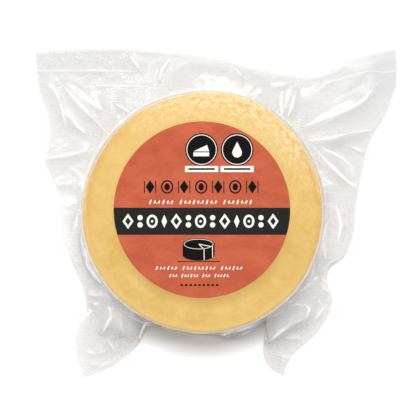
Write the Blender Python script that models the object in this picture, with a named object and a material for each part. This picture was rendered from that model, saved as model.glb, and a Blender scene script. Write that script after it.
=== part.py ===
"""A small cheese wheel with a round label on top, vacuum packed in a clear flat bag."""
import math

import bpy
import numpy as np

# Lengths are in millimetres until a mesh is made
MM = 0.001

# Cheese wheel: radius waves are (times round, height, phase)
WHEEL_RADIUS = 57.5
WHEEL_HEIGHT = 37.0
WHEEL_EDGE = 2.5
WHEEL_WAVES = ((2, 0.35, 0.6), (3, 0.30, 2.1), (5, 0.20, 4.0), (9, 0.13, 1.0), (14, 0.07, 2.7))
WHEEL_SIDES = 128
EDGE_STEPS = 5

# Round paper label
LABEL_RADIUS = 41.6
LABEL_CENTRE = (-0.5, 1.0)
LABEL_THICKNESS = 0.4
LABEL_GAP = 0.3
LABEL_SIDES = 96

# Bag: the two films meet low on the wheel's side and run out as one flap
FILM_GAP = 0.3
FLAP_THICKNESS = 0.8
HUG_LOW = 2.6
HUG_HIGH = 34.4
SEAM_HEIGHT = 11.0
SEAM_DIP = 4.0
SEAM_DIP_ANGLE = math.radians(-90.0)
SEAM_DIP_WIDTH = math.radians(32.0)
TENT_REACH = 2.4
TENT_CURVE = 2.6
LOWEST_FLAP = 1.0
FLAP_STATIONS = 156
NEAR_STEPS = 4
FAR_STEPS = 7
WALL_STEPS = 3
SPREAD = 7.0

# Edge of the flap from corner to corner, clockwise from the top left: (x, y, height)
TOP_EDGE = (
    (-80.6, 75.8, 5.5),
    (-54.0, 77.9, 6.0),
    (-20.5, 76.4, 6.5),
    (3.3, 73.4, 6.5),
    (27.0, 67.8, 6.5),
    (40.0, 65.6, 6.0),
    (52.0, 65.0, 6.0),
    (63.0, 68.7, 6.5),
    (79.5, 76.2, 7.0),
    (92.1, 79.2, 7.5),
)
RIGHT_EDGE = (
    (92.1, 79.2, 7.5),
    (92.5, 63.0, 7.0),
    (87.3, 47.2, 6.5),
    (79.3, 33.5, 6.0),
    (75.8, 18.6, 6.0),
    (73.4, 6.5, 6.5),
    (71.2, -12.0, 6.0),
    (66.8, -21.3, 5.5),
    (59.8, -26.3, 5.5),
    (58.9, -31.5, 5.0),
    (62.0, -41.5, 5.0),
    (56.0, -54.7, 4.0),
    (40.6, -71.7, 2.2),
    (38.2, -78.7, 1.6),
)
BOTTOM_EDGE = (
    (38.2, -78.7, 1.6),
    (30.2, -72.6, 1.6),
    (27.9, -66.8, 1.8),
    (29.2, -61.3, 2.2),
    (30.3, -56.4, 2.6),
    (29.6, -53.4, 2.8),
    (24.4, -56.0, 2.8),
    (17.0, -59.4, 2.6),
    (12.6, -60.0, 2.6),
    (8.6, -58.7, 2.8),
    (0.0, -58.7, 3.0),
    (-14.0, -57.4, 3.0),
    (-23.8, -54.3, 3.0),
    (-27.6, -54.8, 3.0),
    (-28.3, -58.6, 3.2),
    (-31.6, -63.9, 3.0),
    (-38.0, -69.6, 2.6),
    (-44.0, -73.6, 2.2),
    (-50.0, -76.4, 1.9),
    (-57.1, -79.0, 1.6),
)
LEFT_EDGE = (
    (-57.1, -79.0, 1.6),
    (-61.0, -67.0, 2.6),
    (-61.4, -57.5, 3.6),
    (-55.9, -47.0, 4.6),
    (-56.6, -38.5, 4.8),
    (-63.4, -20.5, 5.4),
    (-68.4, -3.0, 6.0),
    (-69.4, 10.0, 5.6),
    (-76.3, 26.5, 6.0),
    (-73.5, 39.6, 5.5),
    (-78.6, 59.6, 5.5),
    (-80.6, 75.8, 5.5),
)

# Creases that stand up in the flap: (height, half width, points along the crest)
FOLDS = (
    (1.3, 4.2, ((-69.0, 63.0), (-59.0, 51.0), (-44.0, 36.0))),
    (1.1, 3.6, ((-74.0, 66.0), (-67.5, 49.0), (-55.0, 36.5))),
    (1.0, 3.4, ((-51.0, 58.0), (-50.0, 50.0), (-43.0, 42.0))),
    (1.2, 4.0, ((-76.0, 25.3), (-63.0, 28.0), (-51.0, 30.0))),
    (1.0, 3.0, ((-70.5, 12.5), (-62.0, 14.5))),
    (1.0, 3.4, ((44.5, 60.0), (42.5, 51.0), (39.0, 44.5))),
    (1.5, 4.4, ((84.0, 65.0), (77.0, 54.0), (65.0, 47.0), (48.0, 39.0))),
    (1.2, 3.8, ((83.0, 39.8), (66.0, 36.5), (49.0, 33.5))),
    (1.4, 4.0, ((52.0, 32.0), (66.8, 16.7), (74.5, 9.5))),
    (1.5, 3.4, ((49.0, -44.8), (49.6, -50.0), (41.5, -54.3), (31.0, -62.5))),
    (1.0, 3.0, ((-56.0, -40.0), (-45.0, -41.0))),
    (1.2, 3.0, ((-43.9, -45.5), (-44.6, -51.0), (-49.0, -59.0))),
    (1.2, 3.0, ((-40.5, -48.5), (-41.3, -55.0), (-40.0, -60.5))),
)


def wheel_radius(angle):
    """Outer radius of the slightly uneven wheel"""
    waves = [height * np.cos(times * angle + phase) for times, height, phase in WHEEL_WAVES]
    return WHEEL_RADIUS + sum(waves)


def edge_curve(points, count):
    """Smooth curve through one edge's points, at equal steps, without its last point"""
    knots = np.array(points, dtype=float)
    chords = np.linalg.norm(np.diff(knots, axis=0), axis=1)
    at = np.concatenate(([0.0], np.cumsum(chords)))
    slopes = np.diff(knots, axis=0) / chords[:, None]
    before = chords[:-1, None]
    after = chords[1:, None]
    inner = (slopes[:-1] * after + slopes[1:] * before) / (before + after)
    tangents = np.vstack((slopes[:1], inner, slopes[-1:]))
    wanted = np.linspace(0.0, at[-1], 60 * len(knots))
    span = np.clip(np.searchsorted(at, wanted, side="right") - 1, 0, len(chords) - 1)
    part = ((wanted - at[span]) / chords[span])[:, None]
    length = chords[span][:, None]
    fine = (
        (2 * part**3 - 3 * part**2 + 1) * knots[span]
        + (part**3 - 2 * part**2 + part) * length * tangents[span]
        + (3 * part**2 - 2 * part**3) * knots[span + 1]
        + (part**3 - part**2) * length * tangents[span + 1]
    )
    run = np.concatenate(([0.0], np.cumsum(np.linalg.norm(np.diff(fine, axis=0), axis=1))))
    steps = np.linspace(0.0, run[-1], count, endpoint=False)
    return np.column_stack([np.interp(steps, run, fine[:, axis]) for axis in range(3)])


def flap_outline(count):
    """Points round the flap's edge, with a point on each of the four corners"""
    edges = (TOP_EDGE, RIGHT_EDGE, BOTTOM_EDGE, LEFT_EDGE)
    lengths = [np.linalg.norm(np.diff(np.array(edge), axis=0), axis=1).sum() for edge in edges]
    shares = [round(count * length / sum(lengths)) for length in lengths]
    return np.vstack([edge_curve(edge, share) for edge, share in zip(edges, shares)])


def attach_angles(outline):
    """Angle on the wheel that each edge point hangs from: its own, spread out evenly"""
    count = len(outline)
    polar = np.unwrap(np.arctan2(outline[:, 1], outline[:, 0]))
    even = -2.0 * math.pi * np.arange(count) / count
    steps = np.linalg.norm(np.roll(outline, -1, axis=0)[:, :2] - outline[:, :2], axis=1)
    reach = SPREAD / steps.mean()
    offsets = np.arange(-int(4 * reach), int(4 * reach) + 1)
    weights = np.exp(-0.5 * (offsets / reach) ** 2)
    ripple = sum(w * np.roll(polar - even, o) for w, o in zip(weights, offsets)) / weights.sum()
    turn = np.diff(np.append(ripple + even, ripple[0] - 2.0 * math.pi))
    turn = np.minimum(turn, -0.25 * 2.0 * math.pi / count)
    turn *= -2.0 * math.pi / turn.sum()
    return ripple[0] + np.concatenate(([0.0], np.cumsum(turn[:-1])))


def distance_to_line(x, y, points):
    """Distance in plan to a line of several points, and how far along the line that is"""
    nearest = np.full(np.shape(x), 1e9)
    place = np.zeros(np.shape(x))
    before = 0.0
    for (x0, y0), (x1, y1) in zip(points[:-1], points[1:]):
        run = math.hypot(x1 - x0, y1 - y0)
        along = np.clip(((x - x0) * (x1 - x0) + (y - y0) * (y1 - y0)) / run**2, 0.0, 1.0)
        gap = np.hypot(x - x0 - along * (x1 - x0), y - y0 - along * (y1 - y0))
        place = np.where(gap < nearest, before + along * run, place)
        nearest = np.minimum(nearest, gap)
        before += run
    return nearest, place / before


def fold_height(x, y):
    """Height that the creases add to the flap; each one sinks towards its ends"""
    total = np.zeros(np.shape(x))
    for height, half_width, points in FOLDS:
        gap, place = distance_to_line(x, y, points)
        total += height * np.sin(math.pi * np.clip(place, 0.0, 1.0)) ** 0.6 * np.exp(-((gap / half_width) ** 2))
    return total


def seam_height(angle):
    """Height at which the two films meet on the wheel's side"""
    away = (angle - SEAM_DIP_ANGLE + math.pi) % (2.0 * math.pi) - math.pi
    sway = 1.0 * np.sin(2.0 * angle + 0.7) + 0.5 * np.sin(5.0 * angle)
    return SEAM_HEIGHT + sway - SEAM_DIP * np.exp(-((away / SEAM_DIP_WIDTH) ** 2))


def flap_surface(count, near_steps, far_steps):
    """Middle of the flap on stations round it by steps outward: x, y, height, share outward, opening"""
    outline = flap_outline(count)
    angle = attach_angles(outline)
    radius = wheel_radius(angle) + FILM_GAP
    start = np.column_stack((radius * np.cos(angle), radius * np.sin(angle), seam_height(angle)))
    length = np.linalg.norm(outline[:, :2] - start[:, :2], axis=1)[:, None]
    reach = np.minimum(TENT_REACH, 0.5 * length)
    near = np.linspace(0.0, 1.0, near_steps + 1)[None, :] ** 1.6
    far = np.linspace(0.0, 1.0, far_steps + 1)[None, 1:] ** 1.2
    away = np.hstack((reach * near, reach + (length - reach) * far))
    out = away / length
    x = start[:, :1] + (outline[:, :1] - start[:, :1]) * out
    y = start[:, 1:2] + (outline[:, 1:2] - start[:, 1:2]) * out
    z = start[:, 2:3] + (outline[:, 2:3] - start[:, 2:3]) * (1.5 * out - 0.5 * out**3)
    clear_of_wheel = 1.0 - np.exp(-((away / 4.0) ** 2))
    z = np.maximum(z + fold_height(x, y) * clear_of_wheel, LOWEST_FLAP)
    opening = np.clip(1.0 - away / reach, 0.0, 1.0) ** TENT_CURVE
    return x, y, z, out, opening


def closed_mesh(name, points, faces, colour, roughness, alpha=1.0):
    """One object with its own material, facing outward"""
    points = np.asarray(points) * MM
    corners = np.array([(f[0], f[i], f[i + 1]) for f in faces for i in range(1, len(f) - 1)])
    a, b, c = (points[corners[:, i]] for i in range(3))
    if np.einsum("ij,ij->i", a, np.cross(b, c)).sum() < 0.0:
        faces = [tuple(reversed(face)) for face in faces]
    mesh = bpy.data.meshes.new(name)
    mesh.from_pydata([tuple(point) for point in points], [], faces)
    mesh.update()
    mesh.shade_smooth()
    material = bpy.data.materials.new(name)
    material.use_nodes = True
    shader = material.node_tree.nodes["Principled BSDF"]
    shader.inputs["Base Color"].default_value = (*colour, 1.0)
    shader.inputs["Roughness"].default_value = roughness
    shader.inputs["Metallic"].default_value = 0.0
    shader.inputs["Alpha"].default_value = alpha
    mesh.materials.append(material)
    piece = bpy.data.objects.new(name, mesh)
    bpy.context.collection.objects.link(piece)
    return piece


def turned_solid(rings):
    """Points and faces of a solid made of equal closed rings, with a point at each end"""
    sides = len(rings[0])
    low = np.mean(rings[0], axis=0)
    high = np.mean(rings[-1], axis=0)
    points = np.vstack([low, *rings, high])
    faces = []
    for side in range(sides):
        after = (side + 1) % sides
        faces.append((0, 1 + after, 1 + side))
        for level in range(len(rings) - 1):
            here = 1 + level * sides
            faces.append((here + side, here + after, here + sides + after, here + sides + side))
        last = 1 + (len(rings) - 1) * sides
        faces.append((last + side, last + after, len(points) - 1))
    return points, faces


def make_wheel():
    """Solid wheel with rounded edges, flat below and above"""
    angle = np.linspace(0.0, 2.0 * math.pi, WHEEL_SIDES, endpoint=False)
    bend = np.linspace(0.0, math.pi / 2.0, EDGE_STEPS + 1)
    profile = [(WHEEL_EDGE * (1.0 - math.sin(t)), WHEEL_EDGE * (1.0 - math.cos(t))) for t in bend]
    profile += [(inset, WHEEL_HEIGHT - height) for inset, height in reversed(profile)]
    rings = []
    for inset, height in profile:
        radius = wheel_radius(angle) - inset
        level = np.full(WHEEL_SIDES, height)
        rings.append(np.column_stack((radius * np.cos(angle), radius * np.sin(angle), level)))
    points, faces = turned_solid(rings)
    closed_mesh("cheese_wheel", points, faces, (0.86, 0.58, 0.20), 0.45)


def make_label():
    """Thin round label lying on the wheel"""
    angle = np.linspace(0.0, 2.0 * math.pi, LABEL_SIDES, endpoint=False)
    x = LABEL_CENTRE[0] + LABEL_RADIUS * np.cos(angle)
    y = LABEL_CENTRE[1] + LABEL_RADIUS * np.sin(angle)
    bottom = WHEEL_HEIGHT + LABEL_GAP
    levels = (bottom, bottom + LABEL_THICKNESS)
    points, faces = turned_solid([np.column_stack((x, y, np.full(LABEL_SIDES, z))) for z in levels])
    closed_mesh("label", points, faces, (0.62, 0.12, 0.06), 0.5)


def make_bag():
    """Ring of film round the wheel: against its side, drawn together, then out as a flap"""
    x, y, middle, _, opening = flap_surface(FLAP_STATIONS, NEAR_STEPS, FAR_STEPS)
    half = FLAP_THICKNESS / 2.0
    upper = middle + half + (HUG_HIGH - middle[:, :1] - half) * opening
    lower = middle - half - (middle[:, :1] - half - HUG_LOW) * opening
    wall = np.linspace(HUG_LOW, HUG_HIGH, WALL_STEPS + 1)[1:-1]
    section_x = np.hstack((x, x[:, ::-1], np.repeat(x[:, :1], len(wall), axis=1)))
    section_y = np.hstack((y, y[:, ::-1], np.repeat(y[:, :1], len(wall), axis=1)))
    section_z = np.hstack((upper, lower[:, ::-1], np.tile(wall, (len(x), 1))))
    stations, size = section_x.shape
    steps = NEAR_STEPS + FAR_STEPS
    points = np.column_stack((section_x.ravel(), section_y.ravel(), section_z.ravel()))
    faces = []
    for station in range(stations):
        this = station * size
        after = ((station + 1) % stations) * size
        for step in range(size):
            follow = (step + 1) % size
            corners = (this + step, after + step, after + follow, this + follow)
            if steps < step <= 2 * steps + 1:
                faces.append((corners[3], corners[0], corners[1]))
                faces.append((corners[3], corners[1], corners[2]))
            else:
                faces.append((corners[0], corners[1], corners[2]))
                faces.append((corners[0], corners[2], corners[3]))
    closed_mesh("vacuum_bag", points, faces, (0.85, 0.87, 0.88), 0.15, 0.35)


def main():
    for leftover in list(bpy.data.objects):
        bpy.data.objects.remove(leftover, do_unlink=True)
    make_wheel()
    make_label()
    make_bag()


main()
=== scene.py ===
"""A vacuum-packed cheese wheel: clear creased film, cheese and label, under soft studio light"""
import math

import bpy
import numpy as np
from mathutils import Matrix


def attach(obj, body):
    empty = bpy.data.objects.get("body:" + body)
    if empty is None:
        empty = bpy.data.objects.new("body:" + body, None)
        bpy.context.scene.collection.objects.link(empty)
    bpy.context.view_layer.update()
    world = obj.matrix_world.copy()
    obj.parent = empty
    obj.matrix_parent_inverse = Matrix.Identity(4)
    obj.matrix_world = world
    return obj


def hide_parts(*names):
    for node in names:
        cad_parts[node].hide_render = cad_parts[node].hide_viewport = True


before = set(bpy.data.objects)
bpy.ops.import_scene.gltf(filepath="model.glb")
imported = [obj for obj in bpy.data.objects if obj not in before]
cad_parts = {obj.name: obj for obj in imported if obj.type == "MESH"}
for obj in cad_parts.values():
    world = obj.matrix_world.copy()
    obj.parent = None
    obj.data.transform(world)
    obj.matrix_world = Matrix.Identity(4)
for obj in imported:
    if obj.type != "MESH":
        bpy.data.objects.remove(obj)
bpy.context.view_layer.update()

# Lengths are in millimetres until a mesh is made
MM = 0.001

# Cheese wheel; the waves of its radius are (times round, height, phase)
WHEEL_RADIUS = 57.3
WHEEL_HEIGHT = 37.0
WHEEL_EDGE = 2.5
WHEEL_WAVES = (
    (2, 0.35, 4.5),
    (3, 0.35, 2.8),
    (5, 0.10, 1.3),
    (6, 0.12, 5.3),
    (7, 0.10, 4.2),
    (14, 0.06, 2.7),
)
WHEEL_LIFT = 0.25
CROWN_START = 40.0
CROWN_DROP = 0.8
FACE_RELIEF = 0.10
WHEEL_STATIONS = 256
WHEEL_FACE_ROWS = 36
WHEEL_RIM_ROWS = 12
WHEEL_WALL_ROWS = 12

# Round paper label, and where its print lies
LABEL_RADIUS = 41.95
LABEL_CENTRE = (-0.65, 1.5)
LABEL_RISE = 0.30
LABEL_TOP = WHEEL_HEIGHT + LABEL_RISE
LABEL_THICKNESS = 0.18
LABEL_SIDES = 192
PRINT_THICKNESS = 0.02
MEDALLIONS = (-0.8, 16.1)
MEDALLION_Y = 30.0
BAR_Y = 20.8
ORNAMENT_Y = 12.3
BAND = (-10.5, 2.4)
FIGURE_Y = -4.05
CUT_CHEESE = (-2.2, -14.9)
DASH_Y = -34.4

# Rows of sprigs on the label: (left, right, height, size, leaves in each group)
SPRIGS = (
    (-26.2, 23.6, 5.1, 1.25, (6, 9, 7)),
    (-23.0, 19.0, -26.3, 1.1, (6, 9, 6)),
    (-16.4, 12.2, -29.9, 1.0, (3, 6, 3, 5)),
)

# Where the film leaves the wheel's side, and the seam at which the two films meet
FILM_GAP = 0.3
HUG_LOW = 2.6
HUG_HIGH = 34.4
SEAM_HEIGHT = 11.0
SEAM_DIP = 4.0
SEAM_DIP_ANGLE = math.radians(-90.0)
SEAM_DIP_WIDTH = math.radians(32.0)

# How far the film stands off the side, with waves as on the wheel, and tents: (heading, half width, reach)
POCKET_REACH = 0.5
POCKET_WAVES = ((3.0, 0.30, 1.0), (7.0, 0.25, 2.0), (13.0, 0.20, 0.0))
TENT_CURVE = 2.6
TENTS = (
    (math.radians(-144.0), math.radians(26.0), 3.6),
    (math.radians(-32.0), math.radians(18.0), 2.8),
)

# Lowest place of the flap, how far along its edge the film's run to the wheel is evened out, and the
# least share of an even step that it then takes round the wheel
LOWEST_FLAP = 1.0
SPREAD = 7.0
LEAST_TURN = 0.25

# Clearance and mesh of the film
FILM_CLEARANCE = 0.12
FILM_APART = 0.18
FLAP_STATIONS = 1100
BACK_STATIONS = 720
FACE_ROWS = 16
RIM_ROWS = 8
NEAR_ROWS = 14
FAR_ROWS = 74
BACK_ROWS = 60
CURVE_DETAIL = 60

# Edge of the flap from corner to corner, clockwise from the top left: (x, y, height)
TOP_EDGE = (
    (-80.6, 76.8, 5.5),
    (-54.0, 78.7, 6.0),
    (-20.5, 77.6, 6.5),
    (3.3, 74.9, 6.5),
    (27.0, 69.2, 6.5),
    (40.0, 66.4, 6.0),
    (52.0, 65.4, 6.0),
    (63.0, 69.3, 6.5),
    (79.5, 77.2, 7.0),
    (92.1, 79.2, 7.5),
)
RIGHT_EDGE = (
    (92.1, 79.2, 7.5),
    (92.4, 63.0, 7.0),
    (87.3, 47.2, 6.5),
    (79.3, 33.5, 6.0),
    (75.8, 18.6, 6.0),
    (73.4, 6.5, 6.5),
    (71.2, -12.0, 6.0),
    (66.8, -21.3, 5.5),
    (59.8, -26.3, 5.5),
    (58.9, -31.5, 5.0),
    (62.0, -41.5, 5.0),
    (56.0, -54.7, 4.0),
    (40.6, -71.7, 2.2),
    (38.2, -78.7, 1.6),
)
BOTTOM_EDGE = (
    (38.2, -78.7, 1.6),
    (30.2, -72.6, 1.6),
    (28.5, -66.8, 1.8),
    (29.6, -61.3, 2.2),
    (31.2, -55.4, 2.6),
    (33.2, -50.4, 2.8),
    (30.8, -51.4, 2.8),
    (24.8, -55.4, 2.8),
    (17.2, -60.2, 2.6),
    (13.2, -60.9, 2.6),
    (9.2, -59.2, 2.8),
    (0.0, -58.7, 3.0),
    (-14.0, -57.4, 3.0),
    (-23.8, -54.3, 3.0),
    (-27.6, -55.0, 3.0),
    (-29.2, -58.8, 3.1),
    (-32.2, -63.9, 3.0),
    (-38.0, -69.6, 2.6),
    (-44.0, -73.6, 2.2),
    (-50.0, -76.4, 1.9),
    (-57.1, -79.0, 1.6),
)
LEFT_EDGE = (
    (-57.1, -79.0, 1.6),
    (-61.0, -67.0, 2.6),
    (-61.4, -57.5, 3.6),
    (-55.9, -47.0, 4.6),
    (-56.6, -38.5, 4.8),
    (-63.4, -20.5, 5.4),
    (-68.4, -3.0, 6.0),
    (-69.4, 10.0, 5.6),
    (-76.3, 26.5, 6.0),
    (-73.5, 39.6, 5.5),
    (-78.6, 59.6, 5.5),
    (-80.6, 76.8, 5.5),
)

# Creases that stand up in the flap: (height, half width, points along the crest)
FOLDS = (
    (1.3, 4.2, ((-69.0, 63.0), (-59.0, 51.0), (-44.0, 36.0))),
    (1.1, 3.6, ((-74.0, 66.0), (-67.5, 49.0), (-55.0, 36.5))),
    (1.0, 3.4, ((-51.0, 58.0), (-50.0, 50.0), (-43.0, 42.0))),
    (1.2, 4.0, ((-76.0, 25.3), (-63.0, 28.0), (-51.0, 30.0))),
    (1.0, 3.0, ((-70.5, 12.5), (-62.0, 14.5))),
    (1.0, 3.4, ((44.5, 60.0), (42.5, 51.0), (39.0, 44.5))),
    (1.5, 4.4, ((84.0, 65.0), (77.0, 54.0), (65.0, 47.0), (48.0, 39.0))),
    (1.2, 3.8, ((83.0, 39.8), (66.0, 36.5), (49.0, 33.5))),
    (1.4, 4.0, ((52.0, 32.0), (66.8, 16.7), (74.5, 9.5))),
    (1.5, 3.4, ((49.0, -44.8), (49.6, -50.0), (41.5, -54.3), (31.0, -62.5))),
    (1.0, 3.0, ((-56.0, -40.0), (-45.0, -41.0))),
    (1.2, 3.0, ((-43.9, -45.5), (-44.6, -51.0), (-49.0, -59.0))),
    (1.2, 3.0, ((-40.5, -48.5), (-41.3, -55.0), (-40.0, -60.5))),
)

# Finer creases of the film alone, in the same terms
FINE_FOLDS = (
    (0.9, 1.0, ((-67.3, 60.6), (-58.7, 51.0), (-44.4, 36.3))),
    (0.8, 1.1, ((-73.0, 63.9), (-67.3, 48.7), (-65.3, 39.1))),
    (0.9, 1.2, ((-66.3, 47.7), (-59.6, 40.5), (-54.9, 36.7))),
    (0.8, 1.0, ((-66.3, 61.5), (-56.3, 54.4), (-49.1, 48.7))),
    (0.8, 0.9, ((-50.6, 58.2), (-51.5, 54.4), (-49.6, 50.1), (-47.2, 48.2))),
    (0.7, 1.0, ((-43.4, 52.0), (-38.6, 50.1), (-34.3, 47.2))),
    (0.9, 1.2, ((-75.8, 25.3), (-63.4, 27.7), (-51.5, 30.0))),
    (0.6, 0.9, ((-72.0, 13.8), (-65.8, 13.4), (-60.6, 15.3))),
    (0.7, 1.0, ((-66.0, 2.0), (-62.5, 5.0), (-60.0, 4.0))),
    (0.7, 1.1, ((-62.8, -12.0), (-61.0, -6.0), (-59.8, 0.0))),
    (0.9, 1.1, ((38.2, 60.5), (37.2, 51.5), (37.7, 45.3))),
    (0.9, 1.0, ((44.4, 59.5), (42.4, 51.0), (40.1, 44.8))),
    (0.8, 1.2, ((83.0, 63.0), (80.1, 57.7), (77.3, 53.9), (72.5, 51.0), (65.3, 47.2), (55.8, 40.1))),
    (0.8, 1.0, ((71.1, 51.5), (60.6, 45.3), (46.3, 40.5))),
    (0.9, 1.1, ((82.0, 39.6), (72.5, 38.2), (60.6, 35.3), (47.7, 33.9))),
    (0.7, 0.9, ((67.7, 32.4), (72.5, 30.5), (77.8, 28.1))),
    (0.9, 1.1, ((51.0, 32.9), (58.2, 24.8), (66.8, 16.7), (73.9, 10.0))),
    (0.7, 1.3, ((-36.3, 76.8), (-33.4, 72.5), (-30.0, 67.7))),
    (0.7, 1.3, ((-14.8, 74.9), (-20.0, 67.7), (-21.0, 61.0))),
    (0.6, 1.6, ((15.0, 69.0), (18.0, 65.5), (21.5, 63.0))),
    (0.15, 1.8, ((-5.0, 64.5), (5.0, 63.4), (15.0, 61.0))),
    (0.7, 1.3, ((44.8, 63.0), (37.7, 61.0), (31.0, 60.5))),
    (0.8, 1.0, ((55.8, -8.6), (59.0, -23.9))),
    (0.7, 0.9, ((54.9, -20.5), (57.5, -11.0), (59.5, -4.0))),
    (0.6, 1.0, ((63.0, 4.0), (66.0, -6.0), (64.0, -16.0))),
    (0.7, 1.0, ((46.5, -38.2), (52.0, -33.5), (56.0, -31.0))),
    (1.0, 1.0, ((41.0, -44.8), (44.8, -44.1), (49.1, -44.8), (50.6, -46.7), (49.6, -50.1), (47.7, -51.3))),
    (0.9, 1.0, ((49.0, -50.6), (41.5, -54.1), (35.8, -58.2), (30.0, -63.4))),
    (0.7, 0.9, ((55.0, -42.0), (57.5, -46.0), (53.0, -52.0))),
    (0.5, 0.8, ((34.3, -68.0), (42.5, -70.5))),
    (0.5, 0.8, ((36.7, -70.6), (40.5, -72.0))),
    (0.6, 0.9, ((38.5, -60.5), (45.0, -60.0), (49.0, -62.0))),
    (0.7, 0.9, ((-55.3, -39.6), (-47.2, -39.6), (-42.4, -40.5))),
    (0.7, 0.8, ((-55.3, -42.4), (-52.0, -43.9), (-49.0, -43.4))),
    (0.9, 0.9, ((-45.3, -42.9), (-43.9, -45.8), (-44.4, -50.6), (-46.7, -54.9), (-49.1, -59.1))),
    (0.5, 0.9, ((-38.6, -46.0), (-39.5, -51.1), (-39.0, -55.3), (-37.1, -59.1))),
    (0.4, 0.9, ((-46.0, -60.0), (-43.5, -64.5), (-41.0, -67.5))),
    (0.35, 0.9, ((-29.5, -57.0), (-32.0, -62.0), (-35.5, -67.5))),
    (0.6, 0.9, ((-57.0, -66.0), (-52.0, -68.0), (-46.0, -66.0))),
    (0.5, 0.9, ((-55.0, -72.0), (-49.0, -73.5), (-43.0, -71.0))),
    (1.0, 0.6, ((8.0, -57.0), (9.6, -58.9), (13.2, -60.4), (17.0, -59.7), (24.0, -55.9), (31.0, -51.6))),
    (0.7, 0.6, ((11.5, -57.6), (18.5, -56.4), (24.5, -53.4), (30.5, -50.2))),
    (0.8, 0.8, ((27.0, -52.4), (33.0, -49.2), (39.5, -46.2))),
    (0.8, 0.7, ((-40.5, -46.0), (-34.5, -49.6), (-28.5, -53.2), (-20.0, -55.0))),
)

# Heat seals and pressed bands: low steps along (half width, points)
SEALS = (
    (0.55, ((-79.3, 67.4), (-55.0, 67.6), (-27.5, 67.2))),
    (0.45, ((-51.0, 60.3), (-38.0, 60.4), (-25.0, 59.8))),
    (0.60, ((92.0, 67.3), (86.8, 66.8), (78.7, 67.3), (70.1, 65.4), (63.0, 63.0), (56.8, 60.1))),
)
SEAL_HEIGHT = 0.06
CREASE_HEIGHT = 0.75

# Short gathers that fan out from the wheel, drawn at random between the least and the most of
# (angle, turn, length, height, half width)
GATHERS = 56
GATHER_SEED = 11
GATHER_START = 0.5
GATHER_LEAST = (0.0, -0.5, 4.0, 0.05, 0.7)
GATHER_MOST = (2.0 * math.pi, 0.5, 15.0, 0.24, 1.4)

# The film's own waviness
FLAP_RELIEF = 0.09

# White of the milk where the film is painted lighter beside and low round the wheel, as painted light
PAINTED_LIGHT_WHITE = (0.95, 0.94, 0.935, 1.0)

# Camera: above the pack, a touch past the vertical, with a long lens
CAMERA_DISTANCE = 6000.0
CAMERA_ELEVATION = math.radians(90.7)
CAMERA_TARGET = (3.2, 1.1, 20.0)
FRAME_WIDTH = 200.3
SENSOR = 36.0

# Lamps in metres and watts: (name, place, size, power, whether it shows in the gloss)
LAMPS = (
    ("back", (-0.02, 0.47, 1.66), (0.78, 0.56), 27.0, False),
    ("front", (0.0, -1.30, 1.10), (1.20, 0.30), 3.8, False),
    ("strip", (0.0, 0.50, 1.62), (1.00, 0.06), 1.5, True),
    ("key", (-0.16, 1.15, 1.28), (1.28, 0.12), 6.0, True),
    ("left", (-1.28, 0.20, 1.06), (0.10, 0.96), 3.4, True),
    ("right", (1.28, 0.20, 1.06), (0.10, 0.96), 3.2, True),
)
SURROUND = 0.24
FLOOR_REACH = 3.0


def wheel_radius(angle):
    """Outer radius of the slightly uneven wheel"""
    waves = [height * np.cos(times * angle + phase) for times, height, phase in WHEEL_WAVES]
    return WHEEL_RADIUS + sum(waves)


def edge_curve(points, count):
    """Smooth curve through one edge's points, at equal steps, without its last point"""
    knots = np.array(points, dtype=float)
    chords = np.linalg.norm(np.diff(knots, axis=0), axis=1)
    at = np.concatenate(([0.0], np.cumsum(chords)))
    slopes = np.diff(knots, axis=0) / chords[:, None]
    before = chords[:-1, None]
    after = chords[1:, None]
    inner = (slopes[:-1] * after + slopes[1:] * before) / (before + after)
    tangents = np.vstack((slopes[:1], inner, slopes[-1:]))
    wanted = np.linspace(0.0, at[-1], CURVE_DETAIL * len(knots))
    span = np.clip(np.searchsorted(at, wanted, side="right") - 1, 0, len(chords) - 1)
    part = ((wanted - at[span]) / chords[span])[:, None]
    length = chords[span][:, None]
    fine = (
        (2 * part**3 - 3 * part**2 + 1) * knots[span]
        + (part**3 - 2 * part**2 + part) * length * tangents[span]
        + (3 * part**2 - 2 * part**3) * knots[span + 1]
        + (part**3 - part**2) * length * tangents[span + 1]
    )
    run = np.concatenate(([0.0], np.cumsum(np.linalg.norm(np.diff(fine, axis=0), axis=1))))
    steps = np.linspace(0.0, run[-1], count, endpoint=False)
    return np.column_stack([np.interp(steps, run, fine[:, axis]) for axis in range(3)])


def flap_outline(count):
    """Points round the flap's edge, with a point on each of the four corners"""
    edges = (TOP_EDGE, RIGHT_EDGE, BOTTOM_EDGE, LEFT_EDGE)
    lengths = [np.linalg.norm(np.diff(np.array(edge), axis=0), axis=1).sum() for edge in edges]
    shares = [round(count * length / sum(lengths)) for length in lengths]
    return np.vstack([edge_curve(edge, share) for edge, share in zip(edges, shares)])


def attach_angles(outline):
    """Angle on the wheel that each edge point hangs from: its own or a later one's, spread out evenly"""
    count = len(outline)
    polar = np.unwrap(np.arctan2(outline[:, 1], outline[:, 0]))
    polar = np.maximum.accumulate(polar[::-1])[::-1]
    even = -2.0 * math.pi * np.arange(count) / count
    steps = np.linalg.norm(np.roll(outline, -1, axis=0)[:, :2] - outline[:, :2], axis=1)
    reach = SPREAD / steps.mean()
    offsets = np.arange(-int(4 * reach), int(4 * reach) + 1)
    weights = np.exp(-0.5 * (offsets / reach) ** 2)
    ripple = sum(w * np.roll(polar - even, o) for w, o in zip(weights, offsets)) / weights.sum()
    turn = np.diff(np.append(ripple + even, ripple[0] - 2.0 * math.pi))
    turn = np.minimum(turn, -LEAST_TURN * 2.0 * math.pi / count)
    turn *= -2.0 * math.pi / turn.sum()
    return ripple[0] + np.concatenate(([0.0], np.cumsum(turn[:-1])))


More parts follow.
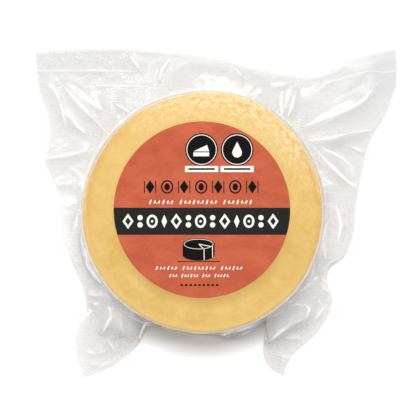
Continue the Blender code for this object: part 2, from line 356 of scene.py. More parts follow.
def distance_to_line(x, y, points):
    """Distance in plan to a line of several points, and how far along the line that is"""
    nearest = np.full(np.shape(x), 1e9)
    place = np.zeros(np.shape(x))
    before = 0.0
    for (x0, y0), (x1, y1) in zip(points[:-1], points[1:]):
        run = math.hypot(x1 - x0, y1 - y0)
        along = np.clip(((x - x0) * (x1 - x0) + (y - y0) * (y1 - y0)) / run**2, 0.0, 1.0)
        gap = np.hypot(x - x0 - along * (x1 - x0), y - y0 - along * (y1 - y0))
        place = np.where(gap < nearest, before + along * run, place)
        nearest = np.minimum(nearest, gap)
        before += run
    return nearest, place / before


def fold_height(x, y):
    """Height that the creases add to the flap; each one sinks towards its ends"""
    total = np.zeros(np.shape(x))
    for height, half_width, points in FOLDS:
        gap, place = distance_to_line(x, y, points)
        taper = np.sin(math.pi * np.clip(place, 0.0, 1.0)) ** 0.6
        total += height * taper * np.exp(-((gap / half_width) ** 2))
    return total


def gathers():
    """Gathers that fan out from the wheel: height, half width and the two ends of each"""
    draw = np.random.default_rng(GATHER_SEED)
    for _ in range(GATHERS):
        angle, turn, length, height, half_width = draw.uniform(GATHER_LEAST, GATHER_MOST)
        start = wheel_radius(angle) + GATHER_START
        x = start * math.cos(angle)
        y = start * math.sin(angle)
        end = (x + length * math.cos(angle + turn), y + length * math.sin(angle + turn))
        yield height, half_width, ((x, y), end)


def fine_height(x, y):
    """Height that the finer creases, seals, gathers and waviness add, and how sharp the crease is there"""
    strong = np.clip(0.35 + 0.5 * waves(x, y, 28.0, 60.0, 8, 9), 0.0, 1.0)
    total = FLAP_RELIEF * waves(x, y, 5.0, 15.0, 26, 5) * strong
    # How sharp each crease or seal is; the material paints the film whiter there, partly its stress
    # whitening and partly a painted highlight for the glints on the crests
    creased = np.zeros(np.shape(x))
    for index, (height, half_width, points) in enumerate(FINE_FOLDS):
        gap, place = distance_to_line(x, y, points)
        taper = np.sin(math.pi * np.clip(place, 0.0, 1.0)) ** 0.7
        crest = np.exp(-(np.hypot(gap, 0.2) - 0.2) / (1.7 * half_width))
        total += CREASE_HEIGHT * height * taper * crest
        beat = 7.0 * place * (1.0 + 0.3 * math.sin(index)) + index
        broken = np.clip(0.75 + 0.5 * np.sin(beat), 0.15, 1.0)
        sharp = np.exp(-((gap / (0.25 + 0.45 * taper)) ** 2))
        creased = np.maximum(creased, height * taper * broken * sharp)
    for half_width, points in SEALS:
        gap, place = distance_to_line(x, y, points)
        faded = np.clip(6.0 * (1.0 - place), 0.0, 1.0)
        total += SEAL_HEIGHT * np.exp(-((gap / half_width) ** 2)) * faded
        creased = np.maximum(creased, 0.28 * np.exp(-((gap / 0.5) ** 2)) * faded)
    for height, half_width, points in gathers():
        gap, place = distance_to_line(x, y, points)
        total += height * (1.0 - place) * np.exp(-((gap / half_width) ** 2))
        creased = np.maximum(creased, height * (1.0 - place) * np.exp(-((gap / 0.6) ** 2)))
    return total, creased


def seam_height(angle):
    """Height at which the two films meet on the wheel's side"""
    away = (angle - SEAM_DIP_ANGLE + math.pi) % (2.0 * math.pi) - math.pi
    sway = 1.0 * np.sin(2.0 * angle + 0.7) + 0.5 * np.sin(5.0 * angle)
    return SEAM_HEIGHT + sway - SEAM_DIP * np.exp(-((away / SEAM_DIP_WIDTH) ** 2))


def pocket_reach(angle):
    """How far the film stands off the wheel's side, further at the crumpled tents"""
    reach = np.ones(np.shape(angle))
    for times, height, phase in POCKET_WAVES:
        reach = reach + height * np.sin(times * angle + phase)
    reach = POCKET_REACH * reach
    crumple = 0.55 + 0.30 * np.sin(23.0 * angle + 0.5) + 0.25 * np.sin(37.0 * angle + 2.0)
    for heading, half_width, wide in TENTS:
        turn = (angle - heading + math.pi) % (2.0 * math.pi) - math.pi
        reach = reach + wide * crumple * np.exp(-((turn / half_width) ** 2))
    return reach


def flap_surface(outline, near_steps, far_steps):
    """Middle of the flap, on stations round it by steps outward

    Gives x, y, height, the share of the way outward, how far the two films open beside the wheel,
    and two marks for the film's material: how creased it is, and how near its straight edge, where it is
    painted greyer as shade
    """
    angle = attach_angles(outline)
    radius = wheel_radius(angle) + FILM_GAP
    start = np.column_stack((radius * np.cos(angle), radius * np.sin(angle), seam_height(angle)))
    length = np.linalg.norm(outline[:, :2] - start[:, :2], axis=1)[:, None]
    reach = np.minimum(pocket_reach(angle)[:, None], 0.6 * length)
    near = np.linspace(0.0, 1.0, near_steps + 1)[None, :] ** 1.6
    far = np.linspace(0.0, 1.0, far_steps + 1)[None, 1:] ** 1.2
    away = np.hstack((reach * near, reach + (length - reach) * far))
    out = away / length
    x = start[:, :1] + (outline[:, :1] - start[:, :1]) * out
    y = start[:, 1:2] + (outline[:, 1:2] - start[:, 1:2]) * out
    z = start[:, 2:3] + (outline[:, 2:3] - start[:, 2:3]) * (1.5 * out - 0.5 * out**3)
    clear_of_wheel = 1.0 - np.exp(-((away / 4.0) ** 2))
    fine, creased = fine_height(x, y)
    z = np.maximum(z + (fold_height(x, y) + fine) * clear_of_wheel, LOWEST_FLAP)
    opening = np.clip(1.0 - away / reach, 0.0, 1.0) ** TENT_CURVE
    from_edge = distance_to_line(x, y, [point[:2] for point in TOP_EDGE])[0]
    # Nearness to the straight back edge, where the film's material paints it greyer as shade
    brink_shade = np.clip(1.2 - from_edge / 6.0, 0.0, 1.0)
    return x, y, z, out, opening, (creased, brink_shade)


def waves(x, y, shortest, longest, count, seed):
    """Gentle unevenness about one unit high: many straight waves across each other"""
    draw = np.random.default_rng(seed)
    total = np.zeros(np.shape(x))
    for _ in range(count):
        heading, length, phase = draw.uniform((0.0, shortest, 0.0), (math.pi, longest, 2.0 * math.pi))
        run = x * math.cos(heading) + y * math.sin(heading)
        total += np.sin(2.0 * math.pi * run / length + phase)
    return total / math.sqrt(count)


def face_drop(inward):
    """How far the wheel's face lies below its middle, by distance in from the side"""
    crown = np.clip(1.0 - inward / (WHEEL_RADIUS - CROWN_START), 0.0, 1.0) ** 2
    edge = np.clip(1.0 - inward / WHEEL_EDGE, 0.0, 1.0)
    return CROWN_DROP * crown + (WHEEL_EDGE - CROWN_DROP) * (1.0 - np.sqrt(1.0 - edge**2))


def face_rings(side, face_rows, rim_rows):
    """Distances in from the wheel's side, for the rings of points over its face and round its edge"""
    flat = 1.0 - np.linspace(0.0, 1.0, face_rows, endpoint=False)[None, :]
    bend = np.linspace(0.0, math.pi / 2.0, rim_rows)[None, :]
    rim = WHEEL_EDGE * (1.0 - np.sin(bend)) + 0.0 * side
    return np.hstack(((side - WHEEL_EDGE) * flat + WHEEL_EDGE, rim))


def from_label(x, y):
    """Distance outward from the label's edge"""
    return np.hypot(x - LABEL_CENTRE[0], y - LABEL_CENTRE[1]) - LABEL_RADIUS


def face_relief(x, y):
    """Unevenness of the wheel's upper face, which is flat under the label"""
    return FACE_RELIEF * waves(x, y, 7.0, 16.0, 22, 3) * np.clip(from_label(x, y) / 3.0, 0.0, 1.0)


def link_mesh(name, points, faces, smooth=True):
    """A piece of the object, made from points in millimetres"""
    mesh = bpy.data.meshes.new(name)
    mesh.from_pydata([tuple(point) for point in np.asarray(points) * MM], [], faces)
    mesh.update()
    if smooth:
        mesh.shade_smooth()
    piece = bpy.data.objects.new(name, mesh)
    bpy.context.collection.objects.link(piece)
    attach(piece, "root")
    return piece


def ring_faces(stations, rows, flip=False):
    """Faces of a grid that closes on itself, with stations round it and rows outward"""
    faces = []
    for station in range(stations):
        here = station * rows
        after = ((station + 1) % stations) * rows
        for row in range(rows - 1):
            face = (here + row, here + row + 1, after + row + 1, after + row)
            faces.append(face[::-1] if flip else face)
    return faces


def film_sheet(name, upper):
    """One of the bag's two films: the part that is tight on the wheel, and the flap round it"""
    stations = FLAP_STATIONS if upper else BACK_STATIONS
    outline = flap_outline(stations)
    stations = len(outline)
    angle = attach_angles(outline)[:, None]
    side = wheel_radius(angle)
    inward = face_rings(side, FACE_ROWS, RIM_ROWS)
    x = (side - inward) * np.cos(angle)
    y = (side - inward) * np.sin(angle)
    drop = face_drop(inward)
    if upper:
        step = LABEL_RISE / (1.0 + np.exp(np.clip(from_label(x, y) * 2.2 - 1.5, -30.0, 30.0)))
        z = WHEEL_HEIGHT - drop + FILM_CLEARANCE + step + face_relief(x, y)
    else:
        z = WHEEL_LIFT - FILM_CLEARANCE + drop

    far_rows = FAR_ROWS if upper else BACK_ROWS
    flap_x, flap_y, middle, out, opening, marks = flap_surface(outline, NEAR_ROWS, far_rows)
    apart = FILM_APART * (1.0 - out**8)
    if upper:
        flap_z = middle + apart + (HUG_HIGH - middle[:, :1] - apart) * opening
    else:
        flap_z = middle - apart - (middle[:, :1] - apart - HUG_LOW) * opening
    x = np.hstack((x[:, 1:], flap_x))
    y = np.hstack((y[:, 1:], flap_y))
    z = np.hstack((z[:, 1:], flap_z))
    tight = FACE_ROWS + RIM_ROWS - 1
    points = np.column_stack([values[:, :tight].ravel() for values in (x, y, z)])
    faces = ring_faces(stations, tight, flip=not upper)
    for station in range(stations):
        after = ((station + 1) % stations) * tight
        face = (station * tight, after, stations * tight)
        faces.append(face if upper else face[::-1])
    middle_point = (0.0, 0.0, z[:, 0].mean())
    snug = link_mesh(name + "_tight", np.vstack((points, middle_point)), faces)
    rows = x.shape[1] - tight + 1
    points = np.column_stack([values[:, tight - 1:].ravel() for values in (x, y, z)])
    flap = link_mesh(name + "_flap", points, ring_faces(stations, rows, flip=not upper))
    for key, mark in zip(("crease", "brink_shade"), marks):
        before = np.repeat(mark[:, :1], rows - mark.shape[1], axis=1)
        values = np.clip(np.hstack((before, mark)), 0.0, 1.0).ravel().astype(np.float32)
        flap.data.attributes.new(key, "FLOAT", "POINT").data.foreach_set("value", values)
    return snug, flap


def wheel():
    """The cheese, a little uneven, with rounded edges"""
    stations = WHEEL_STATIONS
    angle = np.linspace(0.0, -2.0 * math.pi, stations, endpoint=False)[:, None]
    side = wheel_radius(angle)
    inward = face_rings(side, WHEEL_FACE_ROWS, WHEEL_RIM_ROWS)
    face_x = (side - inward) * np.cos(angle)
    face_y = (side - inward) * np.sin(angle)
    drop = face_drop(inward)
    top = WHEEL_HEIGHT - drop + face_relief(face_x, face_y)
    low = WHEEL_LIFT + drop
    wall = np.linspace(WHEEL_HEIGHT - WHEEL_EDGE, WHEEL_EDGE, WHEEL_WALL_ROWS)[None, 1:-1] + 0.0 * side
    x = np.hstack((face_x[:, 1:], np.repeat(face_x[:, -1:], wall.shape[1], axis=1), face_x[:, :0:-1]))
    y = np.hstack((face_y[:, 1:], np.repeat(face_y[:, -1:], wall.shape[1], axis=1), face_y[:, :0:-1]))
    z = np.hstack((top[:, 1:], wall, low[:, :0:-1]))
    rows = x.shape[1]
    points = np.column_stack((x.ravel(), y.ravel(), z.ravel()))
    ends = ((0.0, 0.0, WHEEL_HEIGHT), (0.0, 0.0, WHEEL_LIFT))
    faces = ring_faces(stations, rows)
    for station in range(stations):
        after = (station + 1) % stations
        faces.append((station * rows, after * rows, stations * rows))
        faces.append(((after + 1) * rows - 1, (station + 1) * rows - 1, stations * rows + 1))
    return link_mesh("cheese", np.vstack((points, ends)), faces)


def label_disc():
    """The label's paper"""
    sides = LABEL_SIDES
    angle = np.linspace(0.0, 2.0 * math.pi, sides, endpoint=False)
    x = LABEL_CENTRE[0] + LABEL_RADIUS * np.cos(angle)
    y = LABEL_CENTRE[1] + LABEL_RADIUS * np.sin(angle)
    low = np.column_stack((x, y, np.full(sides, LABEL_TOP - LABEL_THICKNESS)))
    high = np.column_stack((x, y, np.full(sides, LABEL_TOP)))
    faces = [tuple(range(sides, 2 * sides)), tuple(range(sides - 1, -1, -1))]
    for side in range(sides):
        after = (side + 1) % sides
        faces.append((side, after, sides + after, sides + side))
    return link_mesh("label_paper", np.vstack((low, high)), faces, smooth=False)


def ellipse(x, y, wide, high, turn=0.0, sides=48, start=0.0, end=2.0 * math.pi):
    """Points round an ellipse, or a part of it, that is turned about its middle"""
    points = []
    closed = end - start > 2.0 * math.pi - 1e-6
    for step in range(sides + (0 if closed else 1)):
        angle = start + (end - start) * step / sides
        across, along = wide * math.cos(angle), high * math.sin(angle)
        points.append((
            x + across * math.cos(turn) - along * math.sin(turn),
            y + across * math.sin(turn) + along * math.cos(turn),
        ))
    return points


def box(x, y, wide, high):
    """Corners of an upright rectangle about its middle"""
    left, right = x - wide / 2, x + wide / 2
    low, top = y - high / 2, y + high / 2
    return [(left, low), (right, low), (right, top), (left, top)]


def diamond(x, y, wide, high):
    """Corners of a lozenge about its middle"""
    return [(x - wide / 2, y), (x, y - high / 2), (x + wide / 2, y), (x, y + high / 2)]


class Ink:
    """Flat shapes of one colour, a hair above the label's paper"""

    def __init__(self, level):
        self.height = LABEL_TOP + level * PRINT_THICKNESS
        self.points = []
        self.faces = []

    def fill(self, outline):
        first = len(self.points)
        self.points += [(x, y, self.height) for x, y in outline]
        self.faces.append(tuple(range(first, first + len(outline))))

    def line(self, points, width, closed=False):
        middle = np.array(points, dtype=float)
        if closed:
            ahead = np.roll(middle, -1, axis=0) - middle
            behind = middle - np.roll(middle, 1, axis=0)
        else:
            steps = np.diff(middle, axis=0)
            ahead = np.vstack((steps, steps[-1:]))
            behind = np.vstack((steps[:1], steps))
        ahead /= np.linalg.norm(ahead, axis=1)[:, None]
        behind /= np.linalg.norm(behind, axis=1)[:, None]
        heading = ahead + behind
        heading /= np.linalg.norm(heading, axis=1)[:, None]
        sideways = np.column_stack((-heading[:, 1], heading[:, 0]))
        stretch = np.clip((heading * ahead).sum(axis=1), 0.4, 1.0)[:, None]
        left = middle + sideways * width / 2.0 / stretch
        right = middle - sideways * width / 2.0 / stretch
        count = len(middle)
        for step in range(count if closed else count - 1):
            after = (step + 1) % count
            self.fill([right[step], right[after], left[after], left[step]])

    def mesh(self, name, material):
        piece = link_mesh(name, self.points, self.faces, smooth=False)
        piece.data.materials.append(material)
        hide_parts("label")


def print_band(dark, white):
    """Broad dark band with a row of bold white figures"""
    x0, y0 = LABEL_CENTRE
    lower, upper = [math.asin((edge - y0) / LABEL_RADIUS) for edge in BAND]
    right = ellipse(x0, y0, LABEL_RADIUS, LABEL_RADIUS, sides=12, start=lower, end=upper)
    dark.fill(right + [(2.0 * x0 - x, y) for x, y in reversed(right)])
    y = FIGURE_Y
    for index in range(13):
        x = -1.3 + (index - 6) * 5.75
        kind = (index if index <= 6 else 12 - index) % 4
        if kind == 0:
            white.line(diamond(x, y, 4.0, 5.6), 1.0, closed=True)
        elif kind == 1:
            white.fill(ellipse(x, y + 1.7, 1.25, 1.25))
            white.fill(ellipse(x, y - 1.7, 1.25, 1.25))
        elif kind == 2:
            white.line(ellipse(x, y, 2.1, 2.6), 1.05, closed=True)
            white.fill(ellipse(x, y, 0.6, 0.6))
        else:
            white.fill(diamond(x, y, 2.6, 6.2))


def print_medallions(dark, white, lines):
    """Two round black medallions, one with a wedge of cheese and one with a drop, over plain bars"""
    for x in MEDALLIONS:
        dark.fill(ellipse(x, MEDALLION_Y, 7.8, 7.8, sides=72))
        white.line(ellipse(x, MEDALLION_Y, 7.0, 7.0, sides=72), 0.35, closed=True)
        white.fill(box(x, BAR_Y, 15.8, 2.9))
        lines.fill(box(x, BAR_Y, 12.6, 0.9))
    x, y = MEDALLIONS[0], MEDALLION_Y - 0.4
    white.fill([(x - 3.9, y - 0.4), (x + 3.6, y - 0.4), (x + 2.6, y + 2.6)])
    white.fill([(x - 3.9, y - 0.9), (x + 3.6, y - 0.9), (x + 3.6, y - 2.7), (x - 3.9, y - 2.7)])
    x = MEDALLIONS[1]
    bowl = ellipse(x, y - 1.0, 2.3, 2.3, sides=30, start=math.radians(150.0), end=math.radians(390.0))
    white.fill([(x, y + 4.2)] + bowl)


def print_ornaments(dark, white):
    """Rows of dark and white ornament, and a cheese with a wedge cut out, where the eye expects text"""
    y = ORNAMENT_Y
    for index in range(7):
        x = -1.0 + (index - 3) * 8.1
        if index % 2 == 0:
            dark.fill(diamond(x, y, 4.2, 6.4))
            for side in (x - 2.7, x + 2.7):
                dark.line([(side, y - 2.9), (side, y + 2.9)], 0.45)
        else:
            dark.line(ellipse(x, y, 2.6, 2.9), 0.7, closed=True)
            dark.fill(ellipse(x, y, 1.3, 1.7))
    for row in SPRIGS:
        sprigs(white, *row)
    for index in range(9):
        x = -10.8 + index * 2.1
        dark.line([(x, DASH_Y), (x + 1.2, DASH_Y)], 0.9)
    x, y = CUT_CHEESE
    dark.fill(ellipse(x, y, 7.6, 2.7, sides=64))
    lower = ellipse(x, y - 5.2, 7.6, 2.7, sides=32, start=math.pi, end=2.0 * math.pi)
    dark.fill([(x - 7.6, y)] + lower + [(x + 7.6, y)])
    white.line(ellipse(x, y, 6.9, 2.3, sides=64), 0.22, closed=True)
    white.line([(x, y), (x + 2.6, y - 2.5), (x + 2.6, y - 7.6)], 0.35)
    white.line([(x, y), (x + 6.6, y - 1.3), (x + 6.6, y - 6.4)], 0.35)
    dark.line([(x - 10.2, y - 8.3), (x + 10.2, y - 8.3)], 0.4)


def sprigs(ink, left, right, y, size, groups):
    """A row of small slanted leaves in a few groups, tall and short by turns"""
    pitch = (right - left) / (sum(groups) + len(groups) - 1)
    x = left + pitch / 2.0
    for group in groups:
        for index in range(group):
            tall = 1.0 if index % 3 == 0 else 0.68
            ink.fill(ellipse(x, y, 0.30 * size, tall * size, turn=-0.35, sides=14))
            if index % 3 == 1:
                ink.fill(ellipse(x + 0.45 * pitch, y - 0.45 * size, 0.22 * size, 0.22 * size, sides=10))
            x += pitch
        x += pitch


def label_print():
    """All that is printed on the label"""
    band = Ink(1)
    dark = Ink(1)
    white = Ink(2)
    lines = Ink(3)
    print_band(band, white)
    print_medallions(dark, white, lines)
    print_ornaments(dark, white)
    black = paper_material("black_ink", srgb(6, 5, 5), srgb(10, 9, 8))
    dark.mesh("print_dark", black)
    lines.mesh("print_lines", black)
    band.mesh("print_band", paper_material("charcoal_ink", srgb(27, 27, 26), srgb(32, 32, 30)))
    white.mesh("print_white", paper_material("white_ink", srgb(232, 226, 220), srgb(226, 219, 212)))


class Nodes:
    """Short calls for building one material"""

    def __init__(self, name):
        self.material = bpy.data.materials.new(name)
        self.material.use_nodes = True
        self.tree = self.material.node_tree
        self.tree.nodes.clear()
        self.output = self.add("ShaderNodeOutputMaterial")

    def add(self, kind, inputs=(), **settings):
        node = self.tree.nodes.new(kind)
        for name, value in settings.items():
            setattr(node, name, value)
        for name, value in dict(inputs).items():
            if isinstance(value, bpy.types.NodeSocket):
                self.tree.links.new(value, node.inputs[name])
            else:
                node.inputs[name].default_value = value
        return node

    def math(self, operation, first, second=0.0):
        return self.add("ShaderNodeMath", {0: first, 1: second}, operation=operation).outputs[0]

    def times(self, first, *others):
        for other in others:
            first = self.math("MULTIPLY", first, other)
        return first

    def rest(self, share):
        return self.math("SUBTRACT", 1.0, share)

    def span(self, value, low, high, new_low=0.0, new_high=1.0):
        inputs = {"Value": value, "From Min": low, "From Max": high, "To Min": new_low, "To Max": new_high}
        return self.add("ShaderNodeMapRange", inputs).outputs["Result"]

    def ramp(self, length, low, high, new_low=0.0, new_high=1.0):
        """As span, for a length between two limits in millimetres"""
        return self.span(length, low * MM, high * MM, new_low, new_high)

    def place(self):
        """Across, along and up in the part's frame, and the distance from its axis"""
        where = self.add("ShaderNodeTexCoord").outputs["Object"]
        across, along, up = self.add("ShaderNodeSeparateXYZ", {0: where}).outputs
        squares = self.math("ADD", self.times(across, across), self.times(along, along))
        return across, along, up, self.math("SQRT", squares)

    def mark(self, name):
        return self.add("ShaderNodeAttribute", attribute_name=name).outputs["Fac"]

    def mix(self, share, first, second):
        node = self.add("ShaderNodeMix", data_type="RGBA")
        for index, value in ((0, share), (6, first), (7, second)):
            if isinstance(value, bpy.types.NodeSocket):
                self.tree.links.new(value, node.inputs[index])
            else:
                node.inputs[index].default_value = value
        return node.outputs[2]

    def noise(self, scale, detail=2.0, roughness=0.5, stretch=(1.0, 1.0, 1.0), where=None, twist=0.0):
        where = where or self.add("ShaderNodeTexCoord").outputs["Object"]
        where = self.add("ShaderNodeMapping", {"Vector": where, "Scale": stretch}).outputs[0]
        inputs = {"Vector": where, "Scale": scale, "Detail": detail, "Roughness": roughness}
        return self.add("ShaderNodeTexNoise", {**inputs, "Distortion": twist}).outputs["Fac"]

    def surface(self, shader):
        self.tree.links.new(shader, self.output.inputs["Surface"])
        return self.material


def srgb(red, green, blue):
    """A colour on the screen's 0 to 255 scale, as the shaders take it"""
    parts = [value / 255.0 for value in (red, green, blue)]
    return (*[part / 12.92 if part <= 0.04045 else ((part + 0.055) / 1.055) ** 2.4 for part in parts], 1.0)


def grey(value):
    """A neutral colour, as the shaders take it"""
    return (value, value, value, 1.0)


def hazy_film(n, clarity, haze, normal):
    """Film of the flap: clear and milky by shares, whiter low down near the table and along its creases"""
    across, along, up, radius = n.place()
    beside = n.math("ABSOLUTE", across)
    crease = n.mark("crease")

    # Painted shade: greyer towards the back, most of all at the right corner and along the straight back
    # edge
    slant = n.math("ADD", n.times(along, 0.8), n.times(across, 0.6))
    back = n.ramp(along, 30.0, 70.0, 0.0, 0.3)
    back = n.math("MAXIMUM", back, n.ramp(slant, 50.0, 95.0, 0.1, 0.46))
    tint = n.mix(n.math("MAXIMUM", n.mark("brink_shade"), back), grey(clarity), grey(0.905))
    clear = n.add("ShaderNodeBsdfTransparent", {"Color": tint})

    # The clear gap between the two feet, and the film painted milkier and whiter low beside the wheel, as
    # painted light over the wheel's shade
    wander = n.math("ADD", beside, n.span(n.noise(90.0, 2.0), 0.3, 0.7, -4.0 * MM, 4.0 * MM))
    gap = n.times(n.ramp(wander, 22.0, 36.0, 1.0, 0.0), n.ramp(along, -42.0, -50.0))
    gap = n.times(gap, n.ramp(across, 6.0, 12.0, 1.0, 0.35))
    low = n.times(n.ramp(radius, 60.0, 71.0, 1.0, 0.0), n.ramp(along, 25.0, -15.0), n.rest(gap))
    # Painted highlight: a cream line where the film meets the wheel's rim, which also covers the shade
    # there
    painted_brim_light = n.times(n.ramp(radius, 59.8, 58.4), n.rest(gap))

    # How milky the film is, with faint ribs, and painted milkier in front, low beside the wheel and on the
    # left as painted light
    ribs = n.math("SINE", n.math("ADD", n.times(along, 3600.0), n.times(n.noise(40.0), 9.0)))
    cloud = n.span(n.noise(70.0, 3.0, 0.6), 0.3, 0.7, 0.85 * haze, 1.15 * haze)
    cloud = n.math("ADD", cloud, n.times(ribs, 0.006))
    # Painted light: milkier towards the front, on the feet
    cloud = n.times(cloud, n.ramp(along, -25.0, -55.0, 1.0, 1.15))
    # Painted light: milkier low beside the wheel
    cloud = n.times(cloud, n.math("ADD", n.times(low, 1.5), 1.0))
    # Painted light: milkier on the left
    cloud = n.times(cloud, n.ramp(across, -42.0, -62.0, 1.0, 1.2))
    cloud = n.times(cloud, n.rest(n.times(gap, 0.75)))
    # Painted highlight: a little more milk at the wheel's rim
    cloud = n.math("ADD", cloud, n.times(painted_brim_light, 0.10))

    # Clear where it stands upright against the wheel, milky where it is seen edge-on
    lean = n.add("ShaderNodeSeparateXYZ", {0: n.add("ShaderNodeNewGeometry").outputs["Normal"]}).outputs[2]
    upright = n.span(n.math("ABSOLUTE", lean), 0.24, 0.07)
    wall = n.times(n.ramp(up, 8.0, 19.0), upright)
    facing = n.add("ShaderNodeLayerWeight", {"Blend": 0.5}).outputs["Facing"]
    edge_on = n.times(n.span(facing, 0.50, 0.94, 0.04, 0.72), n.rest(n.times(gap, 0.6)))
    cloud = n.math("MAXIMUM", n.times(cloud, n.rest(wall)), edge_on)

    # Tone of the milk
    # Painted light: the milk is whiter beside the wheel, low round it and at the left waist, over the
    # wheel's shade
    painted_flank_light = n.times(n.ramp(beside, 40.0, 56.0, 0.0, 0.28), n.ramp(along, 60.0, 50.0))
    painted_waist_light = n.times(n.ramp(across, -56.0, -66.0), n.ramp(along, 24.0, 10.0, 0.0, 0.7))
    # Painted shade: the milk is greyer towards the back
    tone = n.mix(back, (0.76, 0.755, 0.755, 1.0), grey(0.60))
    # Painted light: the milk is paler towards the front
    tone = n.mix(n.ramp(along, 0.0, -45.0), tone, (0.81, 0.785, 0.78, 1.0))
    tone = n.mix(painted_flank_light, tone, PAINTED_LIGHT_WHITE)
    tone = n.mix(n.math("MAXIMUM", low, painted_waist_light), tone, PAINTED_LIGHT_WHITE)
    # Painted highlight: the milk is cream at the wheel's rim
    tone = n.mix(n.times(painted_brim_light, 0.5), tone, (0.91, 0.885, 0.83, 1.0))
    # Whiter along creases and seals: partly the film's stress whitening, partly a painted highlight for the
    # glints on the crests
    tone = n.mix(crease, tone, grey(0.95))
    milk = n.add("ShaderNodeBsdfDiffuse", {"Color": tone, "Normal": normal})

    folded = n.times(crease, n.math("SUBTRACT", 0.6, n.times(wall, 0.6)))
    share = n.math("MINIMUM", n.math("ADD", cloud, folded), 0.9)
    return n.add("ShaderNodeMixShader", {0: share, 1: clear.outputs[0], 2: milk.outputs[0]})


def film_material(name, clarity, haze, mirror, roughness, crinkle, wrinkled=False):
    """Softly glossy, finely embossed film, clear or with haze"""
    n = Nodes(name)
    _, along, _, radius = n.place()

    # The embossing is weaker on the label and stronger where the film is wrinkled, behind it
    height = n.math("ADD", n.noise(230.0, 3.0, 0.55), n.times(n.noise(900.0, 2.0, 0.5), 0.25))
    strength = n.ramp(radius, 40.0, 46.0, 0.25 * crinkle, crinkle)
    if wrinkled:
        height = n.math("ADD", height, n.times(n.noise(620.0, 3.0, 0.6, (0.45, 1.0, 1.0)), 0.6))
        strength = n.times(strength, n.ramp(along, 22.0, 42.0, 1.0, 2.2))
    bump = n.add("ShaderNodeBump", {"Strength": strength, "Distance": 0.0006, "Height": height})
    normal = bump.outputs["Normal"]

    if haze:
        body = hazy_film(n, clarity, haze, normal)
    else:
        body = n.add("ShaderNodeBsdfTransparent", {"Color": grey(clarity)})

    # Gloss, which is weaker on the steep film at the wheel's edge
    gloss = n.add("ShaderNodeBsdfGlossy", {"Color": grey(1.0), "Roughness": roughness, "Normal": normal})
    fresnel = n.add("ShaderNodeFresnel", {"IOR": 1.45, "Normal": normal}).outputs[0]
    steep = n.times(n.ramp(radius, 55.5, 57.0), n.ramp(radius, 60.0, 58.8))
    shine = n.math("MINIMUM", n.times(fresnel, mirror), 0.45)
    shine = n.times(shine, n.rest(n.times(steep, 0.6)))
    both = n.add("ShaderNodeMixShader", {0: shine, 1: body.outputs[0], 2: gloss.outputs[0]})
    return n.surface(both.outputs[0])


def cheese_material():
    """Pale golden cheese, mottled, with another tone at the rim, painted highlights and glints on its back
    half and edge, and painted shade beside the label
    """
    n = Nodes("golden_cheese")
    across, along, _, radius = n.place()
    angle = n.math("ARCTAN2", along, across)
    patches = n.noise(120.0, 4.0, 0.62)
    grain = n.noise(650.0, 3.0, 0.65, (0.7, 1.0, 1.0))

    # Mottled face
    colour = n.mix(n.span(patches, 0.36, 0.66), srgb(210, 177, 111), srgb(198, 164, 91))
    colour = n.mix(n.span(grain, 0.35, 0.75, 0.0, 0.35), colour, srgb(192, 153, 77))

    # Rim, deeper at the back and paler in front, the pale front being painted light on its shaded edge; the
    # paler back half and edge are painted highlights
    front = n.ramp(along, 10.0, -40.0)
    rim = n.times(n.ramp(radius, 52.5, 55.5), n.span(patches, 0.35, 0.6, 0.35, 0.9))
    colour = n.mix(rim, colour, n.mix(front, srgb(193, 147, 68), srgb(212, 180, 113)))
    # Painted highlight: the back half of the face is paler, where it would catch the light from behind
    upper = n.times(n.ramp(along, -10.0, 45.0), n.span(patches, 0.40, 0.62, 0.1, 0.4))
    colour = n.mix(upper, colour, srgb(218, 188, 122))
    # Painted highlight: the very edge is paler
    colour = n.mix(n.ramp(radius, 55.0, 56.8, 0.0, 0.6), colour, srgb(216, 184, 120))

    # Painted glints: pale streaks that run round the rim behind the label, where the film's gloss would
    # catch the light
    round_about = n.add("ShaderNodeCombineXYZ", {0: n.times(angle, 0.052), 1: radius}).outputs[0]
    glint_wisps = n.noise(560.0, 5.0, 0.78, (0.60, 1.0, 1.0), round_about, 0.15)
    behind = n.span(n.math("COSINE", n.math("SUBTRACT", angle, math.radians(70.0))), 0.45, 0.90)
    outside = n.times(behind, n.ramp(radius, 44.0, 53.0, 0.2, 1.0))
    pale = n.times(n.span(glint_wisps, 0.42, 0.66, 0.0, 0.85), outside)
    colour = n.mix(pale, colour, srgb(230, 218, 184))

    # Painted shade: deeper beside the label's front half, as the label's edge would shade the face
    beside = n.times(n.ramp(radius, 41.5, 46.5, 1.0, 0.0), n.ramp(along, 5.0, -30.0))
    colour = n.mix(n.times(beside, 0.8), colour, srgb(184, 148, 80))

    pores = n.noise(420.0, 3.0, 0.6)
    bump = n.add("ShaderNodeBump", {"Strength": 0.3, "Distance": 0.0004, "Height": pores})
    skin = n.add("ShaderNodeBsdfPrincipled", {
        "Base Color": colour,
        "Roughness": 0.50,
        "Specular IOR Level": 0.25,
        "Subsurface Weight": 0.12,
        "Subsurface Radius": (1.0, 0.55, 0.2),
        "Subsurface Scale": 0.003,
        "Normal": bump.outputs["Normal"],
    })
    return n.surface(skin.outputs[0])


def paper_material(name, colour, deeper, blotch=None):
    """Printed paper with a faintly uneven tone"""
    n = Nodes(name)
    tone = n.mix(n.span(n.noise(900.0, 3.0, 0.65), 0.3, 0.7), colour, deeper)
    if blotch:
        tone = n.mix(n.span(n.noise(110.0, 5.0, 0.62, (0.7, 1.0, 1.0)), 0.40, 0.68), tone, blotch)
    fibres = n.noise(1500.0, 2.0, 0.5)
    bump = n.add("ShaderNodeBump", {"Strength": 0.15, "Distance": 0.0002, "Height": fibres})
    ink = n.add("ShaderNodeBsdfPrincipled", {
        "Base Color": tone,
        "Roughness": 0.5,
        "Specular IOR Level": 0.04,
        "Normal": bump.outputs["Normal"],
    })
    return n.surface(ink.outputs[0])


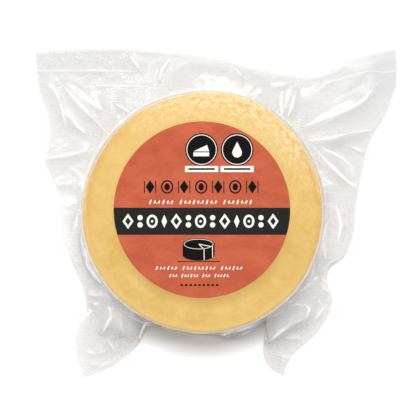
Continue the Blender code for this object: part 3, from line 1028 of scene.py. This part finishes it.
def studio():
    """White floor, broad light from above and in front, lamps that gleam in the film, pale surround"""
    mesh = bpy.data.meshes.new("floor")
    reach = FLOOR_REACH
    corners = [(-reach, -reach, 0), (reach, -reach, 0), (reach, reach, 0), (-reach, reach, 0)]
    mesh.from_pydata(corners, [], [(0, 1, 2, 3)])
    floor = bpy.data.objects.new("floor", mesh)
    bpy.context.collection.objects.link(floor)
    n = Nodes("floor_white")
    tone = n.mix(n.noise(3.0), grey(0.93), grey(0.95))
    matte = n.add("ShaderNodeBsdfPrincipled", {"Base Color": tone, "Roughness": 0.9})
    floor.data.materials.append(n.surface(matte.outputs[0]))

    for name, place, size, power, mirrored in LAMPS:
        lamp = bpy.data.lights.new(name, "AREA")
        lamp.shape = "RECTANGLE"
        lamp.size, lamp.size_y = size
        lamp.energy = power
        holder = bpy.data.objects.new(name, lamp)
        holder.location = place
        holder.rotation_euler = (-holder.location).to_track_quat("-Z", "Y").to_euler()
        holder.visible_glossy = mirrored
        bpy.context.collection.objects.link(holder)

    world = bpy.data.worlds.new("surround")
    world.use_nodes = True
    background = world.node_tree.nodes["Background"]
    background.inputs["Color"].default_value = grey(1.0)
    background.inputs["Strength"].default_value = SURROUND
    bpy.context.scene.world = world
    bpy.context.scene.view_settings.view_transform = "Standard"


def camera():
    """Long lens above the pack, with the photograph's frame"""
    lens = bpy.data.cameras.new("camera")
    lens.sensor_width = SENSOR
    lens.lens = SENSOR * CAMERA_DISTANCE / FRAME_WIDTH
    lens.clip_end = 20.0
    holder = bpy.data.objects.new("camera", lens)
    back = CAMERA_DISTANCE * math.cos(CAMERA_ELEVATION)
    up = CAMERA_DISTANCE * math.sin(CAMERA_ELEVATION)
    x, y, z = CAMERA_TARGET
    holder.location = (MM * x, MM * (y - back), MM * (z + up))
    holder.rotation_euler = (math.pi / 2.0 - CAMERA_ELEVATION, 0.0, 0.0)
    bpy.context.collection.objects.link(holder)
    bpy.context.scene.camera = holder


def main():
    film = film_material("clear_film", clarity=0.95, haze=0.27, mirror=1.1, roughness=0.17, crinkle=0.20)
    tight = film_material(
        "tight_film", clarity=0.99, haze=0.0, mirror=0.9, roughness=0.16, crinkle=0.35, wrinkled=True
    )
    for name, upper in (("film_front", True), ("film_back", False)):
        for sheet, material in zip(film_sheet(name, upper), (tight, film)):
            sheet.data.materials.append(material)
            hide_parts("vacuum_bag")
    cheese = wheel()
    cheese.data.materials.append(cheese_material())
    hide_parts("cheese_wheel")
    paper = label_disc()
    terracotta = paper_material("terracotta_paper", srgb(175, 84, 58), srgb(168, 78, 52), srgb(185, 93, 65))
    paper.data.materials.append(terracotta)
    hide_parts("label")
    label_print()
    studio()
    camera()


main()
